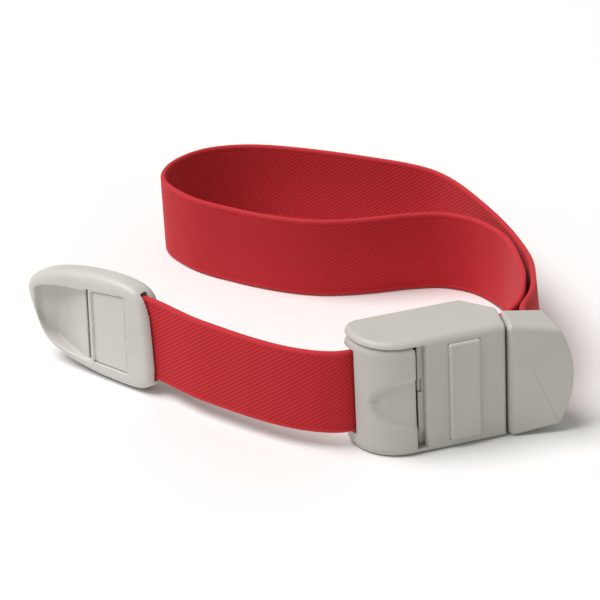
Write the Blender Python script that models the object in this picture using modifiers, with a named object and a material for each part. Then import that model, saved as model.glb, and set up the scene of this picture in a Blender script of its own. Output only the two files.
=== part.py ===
"""One-hand tourniquet strap: an elastic band that loops through a quick-release clasp.

The clasp stands on its bottom edge. +X runs along the clasp towards its plug, -Y is the side with
the press bar, and +Z is up, across the band's width. The origin is at the middle of the clasp's
foot. Everything hangs on an empty at the foot of the clasp's front face, and the lengths below are
measured from there, in millimetres. The helpers turn them into Blender's metres.
"""

import math

import bmesh
import bpy
from mathutils import Matrix, Vector

MM = 0.001
GAP = 0.3  # between pieces that touch

# Clasp casing
CASING_HEIGHT = 33.2
CASING_LEFT = -26.5
CASING_RIGHT = 12.4  # at the front of the end that meets the plug
CASING_BACK = 18.0
CASING_ROUND = 13.0  # radius of the big front corner, at the lever's end
BACK_CORNER = 4.0
CHAMFER_START = (6.3, 18.0)
CHAMFER_END = (13.9, 10.0)
BOTTOM_PLATE = 1.6
TOP_PLATE = 2.0
FRONT_WALL = 1.8
FLAT_FRONT_LEFT = -10.0  # where the flat front face starts
RIGHT_WALL_BACK = 9.3  # how deep the wall beside the plug goes
BACK_WALL = (15.8, 17.6)
INNER_TOP = CASING_HEIGHT - TOP_PLATE
PIN_RADIUS = 1.0  # the lever's pin and the band's guide pin
PIN_BOTTOM, PIN_TOP = 0.8, 31.9
ROUND_CENTRE = (CASING_LEFT + CASING_ROUND, CASING_ROUND)

# Elastic band
BAND_WIDTH = 24.2
BAND_THICK = 1.6
BAND_BOTTOM = 4.5  # height of the lower edge in the clasp
BAND_SLOT = 1.15  # half the thickness of the slots that the band runs in
BAND_SLOT_ROOM = 0.4  # above and below the band
BAND_CHANNEL_Y = 12.2  # the band's middle inside the clasp
GUIDE_PIN = (1.0, 14.4)

# Release lever
LEVER_CENTRE = (-13.1, 13.6)
LEVER_RADIUS = 13.6  # a little proud of the plates at the left, and flush at the front
LEVER_THICK = 3.2
LEVER_LEFT_ANGLE = 178.5  # where 180 is -X and 270 is -Y
LEVER_RIGHT = -12.3
LEVER_BOTTOM, LEVER_TOP = BOTTOM_PLATE + GAP, INNER_TOP - GAP
LEVER_NOTCH = (-23.0, 9.0)  # left of and behind this the lever is open for the band
LEVER_PIVOT = (-19.5, 6.5)
HUB_RADIUS = 2.6
SPRING_SEAT = (13.6, 18.6)  # the heights between which the hub is cut away for its spring
DIMPLE_HEIGHT = 15.0
DIMPLE_REACH = 12.5  # along the lever from its right edge
DIMPLE_DEPTH = 1.3
DIMPLE_MIDDLE = 14.7

# Press bar and latch
BAR_LEFT, BAR_RIGHT = -3.5, 5.3
BAR_BOTTOM, BAR_TOP = 2.4, 30.8
BAR_BACK = 2.6
BAR_FLANGE = 1.2  # how far the flange behind the wall reaches to each side
BAR_PROUD = 0.7
BAR_X = (BAR_LEFT + BAR_RIGHT) / 2
LEG_HEIGHTS = (6.4, 23.6)
LEG_HEIGHT = 2.0
LATCH_Y = (7.5, 8.4)
SPRING_HEIGHTS = (3.8, 28.4)
SPRING_Y = (3.2, 9.9)

# Plug
PLUG_LEFT = 12.9  # at the front of the face that meets the casing
PLUG_SLANT = 0.15  # how far that face goes to the right for each millimetre back
PLUG_CORNER_X = 26.1
PLUG_TIP_X = 29.5
PLUG_BACK = 9.0
PLUG_PROUD = 0.6
PLUG_FLARE = 2.65  # how much further forward the front face has come at the corner
PLUG_TAPER = 2.8
PLUG_EDGE = 0.2  # above the floor at its left end
PLUG_WALL = 0.9
PLUG_HOLLOW_LEFT = 15.3
TONGUE_TIP = -3.0
TONGUE_HEAD = (15.6, 17.4)  # the part of the tongue inside the plug, from left to right
TONGUE_Y = (4.8, 7.2)
TONGUE_SLOT_Z = (9.2, 22.8)  # heights of the mouths that the tongue goes through
BAND_BAR = (20.8, 4.6)
BAND_BAR_RADIUS = 1.0
BAND_BAR_BOTTOM, BAND_BAR_TOP = 2.4, 30.8
BAND_WRAP_RADIUS = 2.3

# Pull tab, in its own frame: x from the band's entry to the tip, +y out of its front, z up
TAB_AT = (-67.6, 58.1)
TAB_ANGLE = 122.8
TAB_LEAN = 2.5
TAB_RISE = 0.25  # lifts the leaning tab's foot clear of the floor
TAB_FRONT = 3.0
TAB_BACK = -4.4
WINDOW_Z = (4.2, 27.4)
CLAMP_PIN = (21.0, 0.9)
CLAMP_PIN_RADIUS = 0.6
CLAMP_SEAT_RADIUS = 2.4
TAB_HOLD = 20.0  # length of band inside the tab
TAB_OUTLINE = [
    (-1.2, 5.0), (1.6, 1.4), (6.0, 0.0), (16.0, 0.0), (24.0, 0.7), (32.0, 2.2), (38.0, 4.8),
    (41.2, 8.2), (43.8, 14.0), (45.4, 19.4), (44.6, 22.6), (41.6, 25.2), (36.0, 27.6),
    (28.0, 29.6), (20.0, 30.8), (12.0, 31.2), (6.0, 30.6), (2.6, 29.0), (0.6, 26.0), (-0.6, 20.0),
]

# The band's way in plan, from its end in the tab to its end in the plug
FREE_END_ROUTE = [
    (-63.7, 50.6), (-59.9, 43.1), (-54.0, 34.2), (-48.2, 26.2), (-41.9, 19.0), (-35.7, 13.9),
    (-30.1, 11.1), (-26.0, 10.7), (-22.6, 12.0),
]
CHANNEL_ROUTE = [(x, BAND_CHANNEL_Y) for x in (-20.0, -10.0, 0.0, 7.0)]
LOOP_ROUTE = [
    (12.6, 12.9), (17.2, 14.3), (21.4, 17.6), (25.4, 22.4), (29.2, 29.7), (32.7, 38.3), (34.9, 47.0),
    (36.8, 55.5), (37.7, 63.2), (37.0, 70.8), (34.0, 79.4), (27.5, 86.1), (20.8, 88.7), (13.8, 90.2),
    (6.8, 91.3), (0.0, 92.9), (-6.5, 95.2), (-12.5, 98.7), (-18.3, 103.4), (-23.9, 108.9),
    (-29.3, 115.2), (-33.9, 120.9), (-37.8, 127.8), (-40.8, 137.5), (-40.3, 144.0), (-36.9, 150.0),
    (-31.2, 154.5), (-23.2, 157.0), (-14.3, 155.8), (-6.0, 152.2), (3.4, 145.7), (12.4, 138.3),
    (21.1, 130.4), (28.7, 123.0), (34.5, 115.3), (37.6, 107.0), (39.2, 98.2), (40.2, 88.5),
    (40.9, 78.5), (40.8, 68.5), (40.0, 59.5), (38.9, 51.3), (37.5, 44.0), (35.3, 36.8), (32.0, 28.3),
]
LOOP_LEFT_END = (-40.8, 137.5)  # where the near side of the loop ends and its far side starts
PLUG_ROUTE = [(28.5, 22.3), (24.7, 17.7), (22.7, 13.6), (22.7, 9.2)]
DROOP_FROM = 10.0  # the loop's lower edge sinks from the clasp to the floor between these two depths
DROOP_TO = 82.0


def smooth(value):
    """0 to 1 with a soft start and a soft end."""
    value = min(max(value, 0.0), 1.0)
    return value * value * (3 - 2 * value)


# ---------------------------------------------------------------- helpers


def start_empty_scene():
    """The two collections, and the empty at the foot of the clasp's front face."""
    for old in list(bpy.context.scene.objects):
        bpy.data.objects.remove(old, do_unlink=True)
    made = []
    for name in ("tourniquet_strap", "cutters"):
        collection = bpy.data.collections.new(name)
        bpy.context.scene.collection.children.link(collection)
        made.append(collection)
    made[1].hide_render = True
    foot = bpy.data.objects.new("front_foot", None)
    foot.location = (0, -CASING_BACK / 2 * MM, 0)
    made[0].objects.link(foot)
    return made[0], made[1], foot


def material(name, colour, roughness, metallic=0.0):
    made = bpy.data.materials.new(name)
    made.use_nodes = True
    shader = made.node_tree.nodes["Principled BSDF"]
    shader.inputs["Base Color"].default_value = (*colour, 1.0)
    shader.inputs["Roughness"].default_value = roughness
    shader.inputs["Metallic"].default_value = metallic
    return made


def add(name, mesh, parent=None):
    """A mesh or None as an object or empty. A name that starts with cut_ makes it a cutter."""
    made = bpy.data.objects.new(name, mesh)
    if name.startswith("cut_"):
        cutters.objects.link(made)
        made.hide_render = True
        made.display_type = "WIRE"
    else:
        parts.objects.link(made)
    made.parent = parent or front_foot
    return made


def slab(name, outline, low, high, along="Z", parent=None):
    """A flat outline given thickness from low to high along Z, or along Y for an outline in X and Z."""
    curve = bpy.data.curves.new(name, "CURVE")
    curve.dimensions = "2D"
    curve.fill_mode = "BOTH"
    curve.extrude = (high - low) / 2 * MM
    spline = curve.splines.new("POLY")
    spline.points.add(len(outline) - 1)
    for point, (x, y) in zip(spline.points, outline):
        point.co = (x * MM, y * MM, 0, 1)
    spline.use_cyclic_u = True
    guide = bpy.data.objects.new(name, curve)
    parts.objects.link(guide)
    graph = bpy.context.evaluated_depsgraph_get()
    mesh = bpy.data.meshes.new_from_object(guide.evaluated_get(graph))
    bpy.data.objects.remove(guide)
    middle = (low + high) / 2 * MM
    if along == "Y":
        mesh.transform(Matrix.Translation((0, middle, 0)) @ Matrix.Rotation(math.pi / 2, 4, "X"))
    else:
        mesh.transform(Matrix.Translation((0, 0, middle)))
    shape = bmesh.new()
    shape.from_mesh(mesh)
    bmesh.ops.remove_doubles(shape, verts=shape.verts, dist=1e-6)
    bmesh.ops.dissolve_limit(shape, angle_limit=0.01, verts=shape.verts, edges=shape.edges)
    bmesh.ops.recalc_face_normals(shape, faces=shape.faces)
    shape.to_mesh(mesh)
    shape.free()
    mesh.name = name
    return add(name, mesh, parent)


def block(name, low, high, parent=None):
    """A box between two corners."""
    shape = bmesh.new()
    bmesh.ops.create_cube(shape, size=1.0)
    size = [(h - l) * MM for l, h in zip(low, high)]
    middle = [(h + l) / 2 * MM for l, h in zip(low, high)]
    bmesh.ops.scale(shape, vec=size, verts=shape.verts)
    bmesh.ops.translate(shape, vec=middle, verts=shape.verts)
    return finish_mesh(name, shape, parent)


def rod(name, at, radius, low, high, sides=24, parent=None):
    """An upright cylinder. Its origin is on its axis."""
    shape = bmesh.new()
    radius *= MM
    bmesh.ops.create_cone(
        shape, cap_ends=True, segments=sides, radius1=radius, radius2=radius, depth=(high - low) * MM
    )
    bmesh.ops.translate(shape, vec=(0, 0, (high + low) / 2 * MM), verts=shape.verts)
    made = finish_mesh(name, shape, parent)
    made.location = (at[0] * MM, at[1] * MM, 0)
    made.data.shade_smooth()
    made.data.set_sharp_from_angle(angle=math.radians(40))
    return made


def finish_mesh(name, shape, parent):
    mesh = bpy.data.meshes.new(name)
    shape.to_mesh(mesh)
    shape.free()
    return add(name, mesh, parent)


def boolean(target, other, operation="DIFFERENCE"):
    step = target.modifiers.new(other.name, "BOOLEAN")
    step.operation = operation
    step.object = other


def bevel(target, width, segments=3, angle=35):
    step = target.modifiers.new("rounded_edges", "BEVEL")
    step.width = width * MM
    step.segments = segments
    step.limit_method = "ANGLE"
    step.angle_limit = math.radians(angle)
    step.use_clamp_overlap = True


def move_origin(target, at):
    """Puts the object's origin on a joint's axis and leaves its shape where it is."""
    offset = Vector((at[0] * MM, at[1] * MM, 0))
    target.data.transform(Matrix.Translation(-offset))
    target.location = offset


def arc(centre, radius, start, end, steps):
    """Points on an arc, angles in degrees."""
    points = []
    for step in range(steps + 1):
        angle = math.radians(start + (end - start) * step / steps)
        points.append((centre[0] + radius * math.cos(angle), centre[1] + radius * math.sin(angle)))
    return points


def coil(name, centre, radius, wire, low, high, turns, parent=None, along="Z"):
    """A coil spring round an axis through centre, from low to high."""
    per_turn = 12
    curve = bpy.data.curves.new(name, "CURVE")
    curve.dimensions = "3D"
    curve.bevel_depth = wire / 2 * MM
    curve.bevel_resolution = 2
    curve.use_fill_caps = True
    spline = curve.splines.new("POLY")
    count = turns * per_turn
    spline.points.add(count)
    for step in range(count + 1):
        angle = 2 * math.pi * step / per_turn
        side = radius * math.cos(angle)
        other = radius * math.sin(angle)
        rise = low + wire / 2 + (high - low - wire) * step / count
        if along == "Z":
            place = (centre[0] + side, centre[1] + other, rise)
        else:
            place = (centre[0] + side, rise, centre[2] + other)
        spline.points[step].co = (place[0] * MM, place[1] * MM, place[2] * MM, 1)
    made = bpy.data.objects.new(name, curve)
    parts.objects.link(made)
    made.parent = parent or front_foot
    return made


# ---------------------------------------------------------------- band


def tab_point(along):
    """A point in plan on the band's middle inside the tab."""
    angle = math.radians(TAB_ANGLE)
    return (TAB_AT[0] + along * math.cos(angle), TAB_AT[1] + along * math.sin(angle))


def through(route, per_step=4):
    """Points on a smooth curve (Catmull-Rom) through a route in plan."""
    ends = [tuple(2 * a - b for a, b in zip(route[0], route[1]))]
    tail = [tuple(2 * a - b for a, b in zip(route[-1], route[-2]))]
    knots = ends + route + tail
    points = []
    for one, two, three, four in zip(knots, knots[1:], knots[2:], knots[3:]):
        for step in range(per_step):
            t = step / per_step
            points.append(tuple(
                b + 0.5 * t * (c - a + t * (2 * a - 5 * b + 4 * c - d + t * (3 * b - a - 3 * c + d)))
                for a, b, c, d in zip(one, two, three, four)
            ))
    points.append(route[-1])
    return points


def cut_back(points, start, end):
    """The points of a way in plan with these lengths taken off its two ends."""
    lengths = [0.0]
    for first, second in zip(points, points[1:]):
        lengths.append(lengths[-1] + math.dist(first, second))
    low, high = start, lengths[-1] - end

    def at(length):
        for index in range(len(points) - 1):
            if lengths[index + 1] >= length:
                share = (length - lengths[index]) / (lengths[index + 1] - lengths[index])
                return tuple(a + (b - a) * share for a, b in zip(points[index], points[index + 1]))
        return points[-1]

    inner = [point for point, length in zip(points, lengths) if low + 0.2 < length < high - 0.2]
    return [at(low)] + inner + [at(high)]


def strip(name, points, lean=0.0, droops=False):
    """A run of the band: an upright open surface over a way in plan, given its thickness by Solidify.

    lean is the angle of the band where the tab holds it, which dies away beyond the tab. A run
    that droops sinks to the floor on its far side.
    """
    shape = bmesh.new()
    rows = []
    whole = sum(math.dist(a, b) for a, b in zip(points, points[1:]))
    gone = 0.0
    for index, point in enumerate(points):
        before = points[max(index - 1, 0)]
        after = points[min(index + 1, len(points) - 1)]
        if index:
            gone += math.dist(points[index - 1], point)
        way = Vector((after[0] - before[0], after[1] - before[1], 0)).normalized()
        side = Vector((-way.y, way.x, 0))
        angle = math.radians(lean) * (1 - smooth((gone - TAB_HOLD) / (whole - TAB_HOLD)))
        up = Vector((0, 0, 1)) * math.cos(angle) + side * math.sin(angle)
        bottom = BAND_BOTTOM
        if droops:
            bottom *= 1 - smooth((point[1] - DROOP_FROM) / (DROOP_TO - DROOP_FROM))
        base = Vector((point[0], point[1], 0))
        rows.append([
            shape.verts.new((base + up * bottom) * MM),
            shape.verts.new((base + up * (bottom + BAND_WIDTH)) * MM),
        ])
    for one, two in zip(rows, rows[1:]):
        shape.faces.new((one[0], two[0], two[1], one[1]))
    made = finish_mesh(name, shape, None)
    step = made.modifiers.new("thickness", "SOLIDIFY")
    step.thickness = BAND_THICK * MM
    step.offset = 0
    made.data.materials.append(RED_ELASTIC)
    return made


def build_band():
    """The band in runs that meet end to end: tab, free end, clasp, two halves of the loop, plug."""
    in_tab = [tab_point(18.6), tab_point(12.0), tab_point(5.0), tab_point(-2.0)]
    free = through(in_tab + FREE_END_ROUTE + CHANNEL_ROUTE[:1])
    strip("band_free_end", cut_back(free, 0.0, GAP / 2), lean=TAB_LEAN)
    inside = through([CHANNEL_ROUTE[0]] + CHANNEL_ROUTE[1:] + LOOP_ROUTE[:1], 1)
    strip("band_in_clasp", cut_back(inside, GAP / 2, GAP / 2))
    turn = LOOP_ROUTE.index(LOOP_LEFT_END)
    near = through(LOOP_ROUTE[: turn + 1], 2)
    strip("band_loop_near", cut_back(near, GAP / 2, GAP / 2), droops=True)
    far = through(LOOP_ROUTE[turn:], 2)
    strip("band_loop_far", cut_back(far, GAP / 2, 0.8), droops=True)
    wrap = arc(BAND_BAR, BAND_WRAP_RADIUS, 0, -180, 8)
    end = through([LOOP_ROUTE[-1]] + PLUG_ROUTE, 2) + wrap
    strip("band_sewn_end", cut_back(end, 0.2, 0.0), droops=True)


# ---------------------------------------------------------------- clasp


def casing_outline():
    front = arc(ROUND_CENTRE, CASING_ROUND, 180, 270, 14)
    right = [(CASING_RIGHT, 0.0), CHAMFER_END, CHAMFER_START]
    back = arc((CASING_LEFT + BACK_CORNER, CASING_BACK - BACK_CORNER), BACK_CORNER, 90, 180, 5)
    return front + right + back


def build_casing():
    """Front wall, right wall, top plate and bottom plate in one moulding, open at the back and the left."""
    casing = slab("casing_shell", casing_outline(), 0.0, CASING_HEIGHT)
    bevel(casing, 1.7)
    far = 40.0
    wall = FRONT_WALL
    hollow = [
        (-far, -far), (FLAT_FRONT_LEFT, -far), (FLAT_FRONT_LEFT, wall), (CASING_RIGHT - wall, wall),
        (CASING_RIGHT - wall, RIGHT_WALL_BACK), (far, RIGHT_WALL_BACK), (far, far), (-far, far),
    ]
    boolean(casing, slab("cut_hollow", hollow, BOTTOM_PLATE, INNER_TOP))
    boolean(casing, block(
        "cut_bar_window",
        (BAR_LEFT - GAP, -2.0, BAR_BOTTOM - GAP),
        (BAR_RIGHT + GAP, wall + 0.2, BAR_TOP + GAP),
    ))
    boolean(casing, block(
        "cut_tongue_mouth",
        (8.0, TONGUE_Y[0] - GAP, TONGUE_SLOT_Z[0]),
        (16.0, TONGUE_Y[1] + GAP, TONGUE_SLOT_Z[1]),
    ))
    for name, at in (("lever", LEVER_PIVOT), ("guide", GUIDE_PIN)):
        hole = rod("cut_" + name + "_pin_hole", at, PIN_RADIUS + GAP, PIN_BOTTOM - GAP, PIN_TOP + GAP)
        boolean(casing, hole)
    casing.data.materials.append(GREY_PLASTIC)


def build_rear_cover():
    """The wall on the arm's side, between the plates, with the slot where the loop leaves."""
    inside, outside = BACK_WALL
    outline = [
        (-25.0, 14.5), (-24.6, 16.2), (-22.9, outside), (6.1, outside), (13.5, 9.9), (11.3, 9.9),
        (5.3, inside), (-22.9, inside), (-23.7, 14.5),
    ]
    cover = slab("rear_cover", outline, BOTTOM_PLATE + GAP, INNER_TOP - GAP)
    boolean(cover, block(
        "cut_loop_slot",
        (2.0, BAND_CHANNEL_Y - BAND_SLOT, BAND_BOTTOM - BAND_SLOT_ROOM),
        (20.0, BAND_CHANNEL_Y + BAND_SLOT + 0.7, BAND_BOTTOM + BAND_WIDTH + BAND_SLOT_ROOM),
    ))
    cover.data.materials.append(GREY_PLASTIC)


def build_lever():
    """The thumb cover with its dimple, the hub on the pin and the teeth that hold the band."""
    centre = LEVER_CENTRE
    columns, rows = 28, 16
    start = LEVER_LEFT_ANGLE
    end = 270 + math.degrees(math.asin((LEVER_RIGHT - centre[0]) / LEVER_RADIUS))
    shape = bmesh.new()
    grid = []
    for column in range(columns + 1):
        angle = math.radians(start + (end - start) * column / columns)
        line = []
        for row in range(rows + 1):
            height = LEVER_BOTTOM + (LEVER_TOP - LEVER_BOTTOM) * row / rows
            reach = math.radians(end) - angle
            across = (reach * LEVER_RADIUS / DIMPLE_REACH) ** 2
            across += ((height - DIMPLE_MIDDLE) * 2 / DIMPLE_HEIGHT) ** 2
            radius = LEVER_RADIUS - DIMPLE_DEPTH * smooth(1.6 * (1 - across))
            line.append(shape.verts.new(Vector((
                centre[0] + radius * math.cos(angle), centre[1] + radius * math.sin(angle), height
            )) * MM))
        grid.append(line)
    for one, two in zip(grid, grid[1:]):
        for a, b, c, d in zip(one, two, two[1:], one[1:]):
            shape.faces.new((a, b, c, d))
    lever = finish_mesh("release_lever", shape, None)
    shell = lever.modifiers.new("thickness", "SOLIDIFY")
    shell.thickness = LEVER_THICK * MM
    shell.offset = -1
    hub = rod("cut_lever_hub", LEVER_PIVOT, HUB_RADIUS, LEVER_BOTTOM + 0.05, LEVER_TOP - 0.05)
    boolean(lever, block(
        "cut_lever_notch",
        (-40.0, LEVER_NOTCH[1], BAND_BOTTOM - BAND_SLOT_ROOM),
        (LEVER_NOTCH[0], 40.0, BAND_BOTTOM + BAND_WIDTH + BAND_SLOT_ROOM),
    ))
    web = [
        (-22.4, 5.6), (-19.6, 3.9), (-17.0, 3.2), (-17.2, 7.4), (-20.4, 11.2), (-22.0, 11.0), (-22.9, 8.7),
    ]
    teeth = slab("cut_lever_teeth", web, LEVER_BOTTOM + 0.1, LEVER_TOP - 0.1)
    boolean(lever, hub, "UNION")
    boolean(lever, teeth, "UNION")
    boolean(lever, rod("cut_lever_bore", LEVER_PIVOT, PIN_RADIUS + GAP, 0.0, CASING_HEIGHT))
    boolean(lever, rod("cut_spring_seat", LEVER_PIVOT, HUB_RADIUS + 0.4, *SPRING_SEAT))
    move_origin(lever, LEVER_PIVOT)
    lever.data.materials.append(GREY_PLASTIC)
    pin = rod("lever_pin", LEVER_PIVOT, PIN_RADIUS, PIN_BOTTOM, PIN_TOP)
    pin.data.materials.append(STEEL)
    spring = coil("lever_spring", LEVER_PIVOT, 1.95, 0.5, SPRING_SEAT[0] + GAP, SPRING_SEAT[1] - GAP, 5)
    spring.data.materials.append(STEEL)


def build_band_guides():
    """What the band runs between inside the clasp: ribbed bar, partition and guide pin."""
    ribs = [(-22.6, 15.5), (-22.6, 14.1)]
    for rib in range(4):
        ribs += [(-22.0 + rib * 1.6, 13.6), (-21.2 + rib * 1.6, 14.1)]
    ribs += [(-15.9, 14.1), (-15.9, 15.5)]
    bar = slab("clamping_bar", ribs, BOTTOM_PLATE + GAP, INNER_TOP - GAP)
    bar.data.materials.append(GREY_PLASTIC)
    partition = block("partition", (-8.6, 10.2, BOTTOM_PLATE + GAP), (7.4, 11.0, INNER_TOP - GAP))
    partition.data.materials.append(GREY_PLASTIC)
    pin = rod("guide_pin", GUIDE_PIN, PIN_RADIUS, PIN_BOTTOM, PIN_TOP)
    pin.data.materials.append(STEEL)


def build_press_bar():
    """The bar on the front, its flange behind the wall, and the legs that push the latch plate."""
    bar = block("press_bar", (BAR_LEFT, -BAR_PROUD, BAR_BOTTOM), (BAR_RIGHT, BAR_BACK, BAR_TOP))
    bevel(bar, 0.6, 2)
    flange = block(
        "cut_bar_flange",
        (BAR_LEFT - BAR_FLANGE, FRONT_WALL + GAP, BOTTOM_PLATE + GAP),
        (BAR_RIGHT + BAR_FLANGE, BAR_BACK + 0.4, INNER_TOP - GAP),
    )
    boolean(bar, flange, "UNION")
    for name, low in zip(("lower", "upper"), LEG_HEIGHTS):
        high_back = (BAR_X + 3, LATCH_Y[0] - GAP, low + LEG_HEIGHT)
        leg = block("cut_bar_leg_" + name, (BAR_X - 3, BAR_BACK - 0.1, low), high_back)
        boolean(bar, leg, "UNION")
    bar.data.materials.append(GREY_PLASTIC)
    plate = block("latch_plate", (BAR_X - 3.2, LATCH_Y[0], 5.8), (BAR_X + 3.2, LATCH_Y[1], 26.2))
    tooth = slab("cut_latch_tooth", [(-1.8, 7.6), (1.9, 7.6), (1.9, 5.0), (0.2, 5.0)], 13.4, 18.6)
    boolean(plate, tooth, "UNION")
    plate.data.materials.append(GREY_PLASTIC)
    for name, height in zip(("lower", "upper"), SPRING_HEIGHTS):
        spring = coil("bar_spring_" + name, (BAR_X, 0, height), 1.2, 0.4, *SPRING_Y, 5, along="Y")
        spring.data.materials.append(STEEL)


# ---------------------------------------------------------------- plug


def plug_outline(inset=0.0):
    """The D seen from the front, in X and Z: straight left edge, tapering edges, bulging end."""
    middle = CASING_HEIGHT / 2
    half = middle - PLUG_TAPER - inset
    sagitta = PLUG_TIP_X - PLUG_CORNER_X
    radius = (half * half + sagitta * sagitta) / (2 * sagitta)
    spread = math.degrees(math.asin(half / radius))
    end = arc((PLUG_TIP_X - radius - inset, middle), radius, -spread, spread, 12)
    left = PLUG_HOLLOW_LEFT if inset else PLUG_LEFT
    return [(left, PLUG_EDGE + inset)] + end + [(left, CASING_HEIGHT - PLUG_EDGE - inset)]


def build_plug():
    """Front shell, rear cover, tongue and band bar."""
    front = slab("plug_shell", plug_outline(), 0.0, PLUG_BACK, "Y")
    for corner in front.data.vertices:
        from_left = corner.co.x - PLUG_LEFT * MM
        if corner.co.y < PLUG_BACK / 2 * MM:
            corner.co.y = -PLUG_PROUD * MM - PLUG_FLARE * from_left / (PLUG_CORNER_X - PLUG_LEFT)
        if from_left < GAP * MM:
            corner.co.x += PLUG_SLANT * corner.co.y
    bevel(front, 1.5)
    hollow = slab("cut_plug_hollow", plug_outline(PLUG_WALL), PLUG_WALL, PLUG_BACK + 5, "Y")
    boolean(front, hollow)
    boolean(front, block(
        "cut_tongue_slot",
        (8.0, TONGUE_Y[0] - GAP, TONGUE_SLOT_Z[0]),
        (16.0, PLUG_BACK + 5, TONGUE_SLOT_Z[1]),
    ))
    boolean(front, rod(
        "cut_band_bar_hole", BAND_BAR, BAND_BAR_RADIUS + GAP, BAND_BAR_BOTTOM - GAP, BAND_BAR_TOP + GAP
    ))
    front.data.materials.append(GREY_PLASTIC)
    rear = slab(
        "plug_rear_cover",
        [(15.6, 1.8), (20.8, 3.3), (20.8, 29.9), (15.6, 31.4)],
        7.6, PLUG_BACK - 0.1, "Y",
    )
    rear.data.materials.append(GREY_PLASTIC)
    head, head_end = TONGUE_HEAD
    tongue = slab(
        "plug_tongue",
        [(TONGUE_TIP, 10.6), (TONGUE_TIP + 1.2, 9.5), (head, 9.5), (head, 6.0), (head_end, 6.0),
         (head_end, 27.0), (head, 27.0), (head, 22.5), (TONGUE_TIP + 1.2, 22.5), (TONGUE_TIP, 21.4),
         (TONGUE_TIP, 19.0),
         (4.2, 19.0), (4.2, 13.0), (TONGUE_TIP, 13.0)],
        TONGUE_Y[0], TONGUE_Y[1], "Y",
    )
    tongue.data.materials.append(GREY_PLASTIC)
    bar = rod("band_bar", BAND_BAR, BAND_BAR_RADIUS, BAND_BAR_BOTTOM, BAND_BAR_TOP)
    bar.data.materials.append(STEEL)


# ---------------------------------------------------------------- pull tab


def build_tab():
    """The moulded tab on the band's end, with its hinged clamp plate."""
    frame = add("tab_frame", None)
    frame.location = (TAB_AT[0] * MM, TAB_AT[1] * MM, TAB_RISE * MM)
    frame.rotation_euler = (math.radians(TAB_LEAN), 0, math.radians(TAB_ANGLE))
    bpy.context.view_layer.update()

    tab = slab("tab_shell", TAB_OUTLINE, TAB_BACK, TAB_FRONT, "Y", frame)
    bevel(tab, 2.0)
    channel_low = BAND_BOTTOM - TAB_RISE - BAND_SLOT_ROOM
    channel_high = BAND_BOTTOM + BAND_WIDTH + BAND_SLOT_ROOM
    channel = block(
        "cut_tab_channel", (-6.0, -BAND_SLOT, channel_low), (19.8, BAND_SLOT, channel_high), frame
    )
    boolean(tab, channel)
    boolean(tab, block("cut_tab_window", (7.5, 0.5, WINDOW_Z[0]), (20.0, 8.0, WINDOW_Z[1]), frame))
    boolean(tab, rod("cut_clamp_seat", CLAMP_PIN, CLAMP_SEAT_RADIUS, *WINDOW_Z, parent=frame))
    valley = slab(
        "cut_finger_valley",
        [(21.0, 8.0), (21.0, 2.0), (23.4, 2.0), (34.0, -1.5), (37.0, -1.9), (40.6, 0.6), (42.8, 8.0)],
        0.0, 40.0, parent=frame,
    )
    opening = slab(
        "cut_valley_outline",
        [(20.0, 4.2), (28.0, 5.0), (34.6, 7.0), (37.6, 9.6), (40.6, 16.5), (41.4, 20.0), (40.2, 22.4),
         (36.0, 24.6), (28.0, 26.6), (20.0, 27.4)],
        -6.0, 9.0, "Y", frame,
    )
    boolean(valley, opening, "INTERSECT")
    boolean(tab, valley)
    boolean(tab, rod("cut_clamp_pin_hole", CLAMP_PIN, CLAMP_PIN_RADIUS + GAP, 2.1, 29.3, 16, frame))
    tab.data.materials.append(LIGHT_PLASTIC)

    plate = slab("tab_clamp_plate", clamp_plate_outline(), WINDOW_Z[0] + GAP, WINDOW_Z[1] - GAP, parent=frame)
    boolean(plate, rod("cut_clamp_bore", CLAMP_PIN, CLAMP_PIN_RADIUS + GAP, 0.0, CASING_HEIGHT, 16, frame))
    move_origin(plate, CLAMP_PIN)
    plate.data.materials.append(LIGHT_PLASTIC)
    pin = rod("tab_clamp_pin", CLAMP_PIN, CLAMP_PIN_RADIUS, 2.4, 29.0, 16, frame)
    pin.data.materials.append(STEEL)


def clamp_plate_outline():
    """The clamp plate seen from above: a flat plate with three teeth, and a barrel on the pin."""
    barrel = arc(CLAMP_PIN, 1.5, -150, 60, 10)
    teeth = []
    for tooth in range(3):
        start = 16.4 - tooth * 2.4
        teeth += [(start, 1.5), (start - 0.6, 1.1), (start - 1.2, 1.5)]
    return [(7.9, 2.5), (7.9, 1.5)] + teeth[::-1] + [(19.0, 1.5)] + barrel + [(18.4, 2.5)]


parts, cutters, front_foot = start_empty_scene()
GREY_PLASTIC = material("clasp_plastic", (0.42, 0.42, 0.37), 0.42)
LIGHT_PLASTIC = material("tab_plastic", (0.56, 0.55, 0.51), 0.4)
RED_ELASTIC = material("band_elastic", (0.50, 0.045, 0.055), 0.85)
STEEL = material("pin_steel", (0.55, 0.55, 0.56), 0.3, 1.0)
build_band()
build_casing()
build_rear_cover()
build_lever()
build_band_guides()
build_press_bar()
build_plug()
build_tab()
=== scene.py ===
"""Looks of the one-hand tourniquet strap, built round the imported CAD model.

Shapes are drawn in millimetres from the foot of the clasp's front face, as in the part's source:
+X along the clasp towards its plug, -Y out of its front, +Z up. WORLD and TAB turn them into the
frame's metres. The elastic band is one strip swept along its route, with a second one for the
stretch that follows the plug. The mouldings are rounded prisms with their openings cut out.
"""

import math

import bmesh
import bpy
from mathutils import Matrix, Vector


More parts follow.
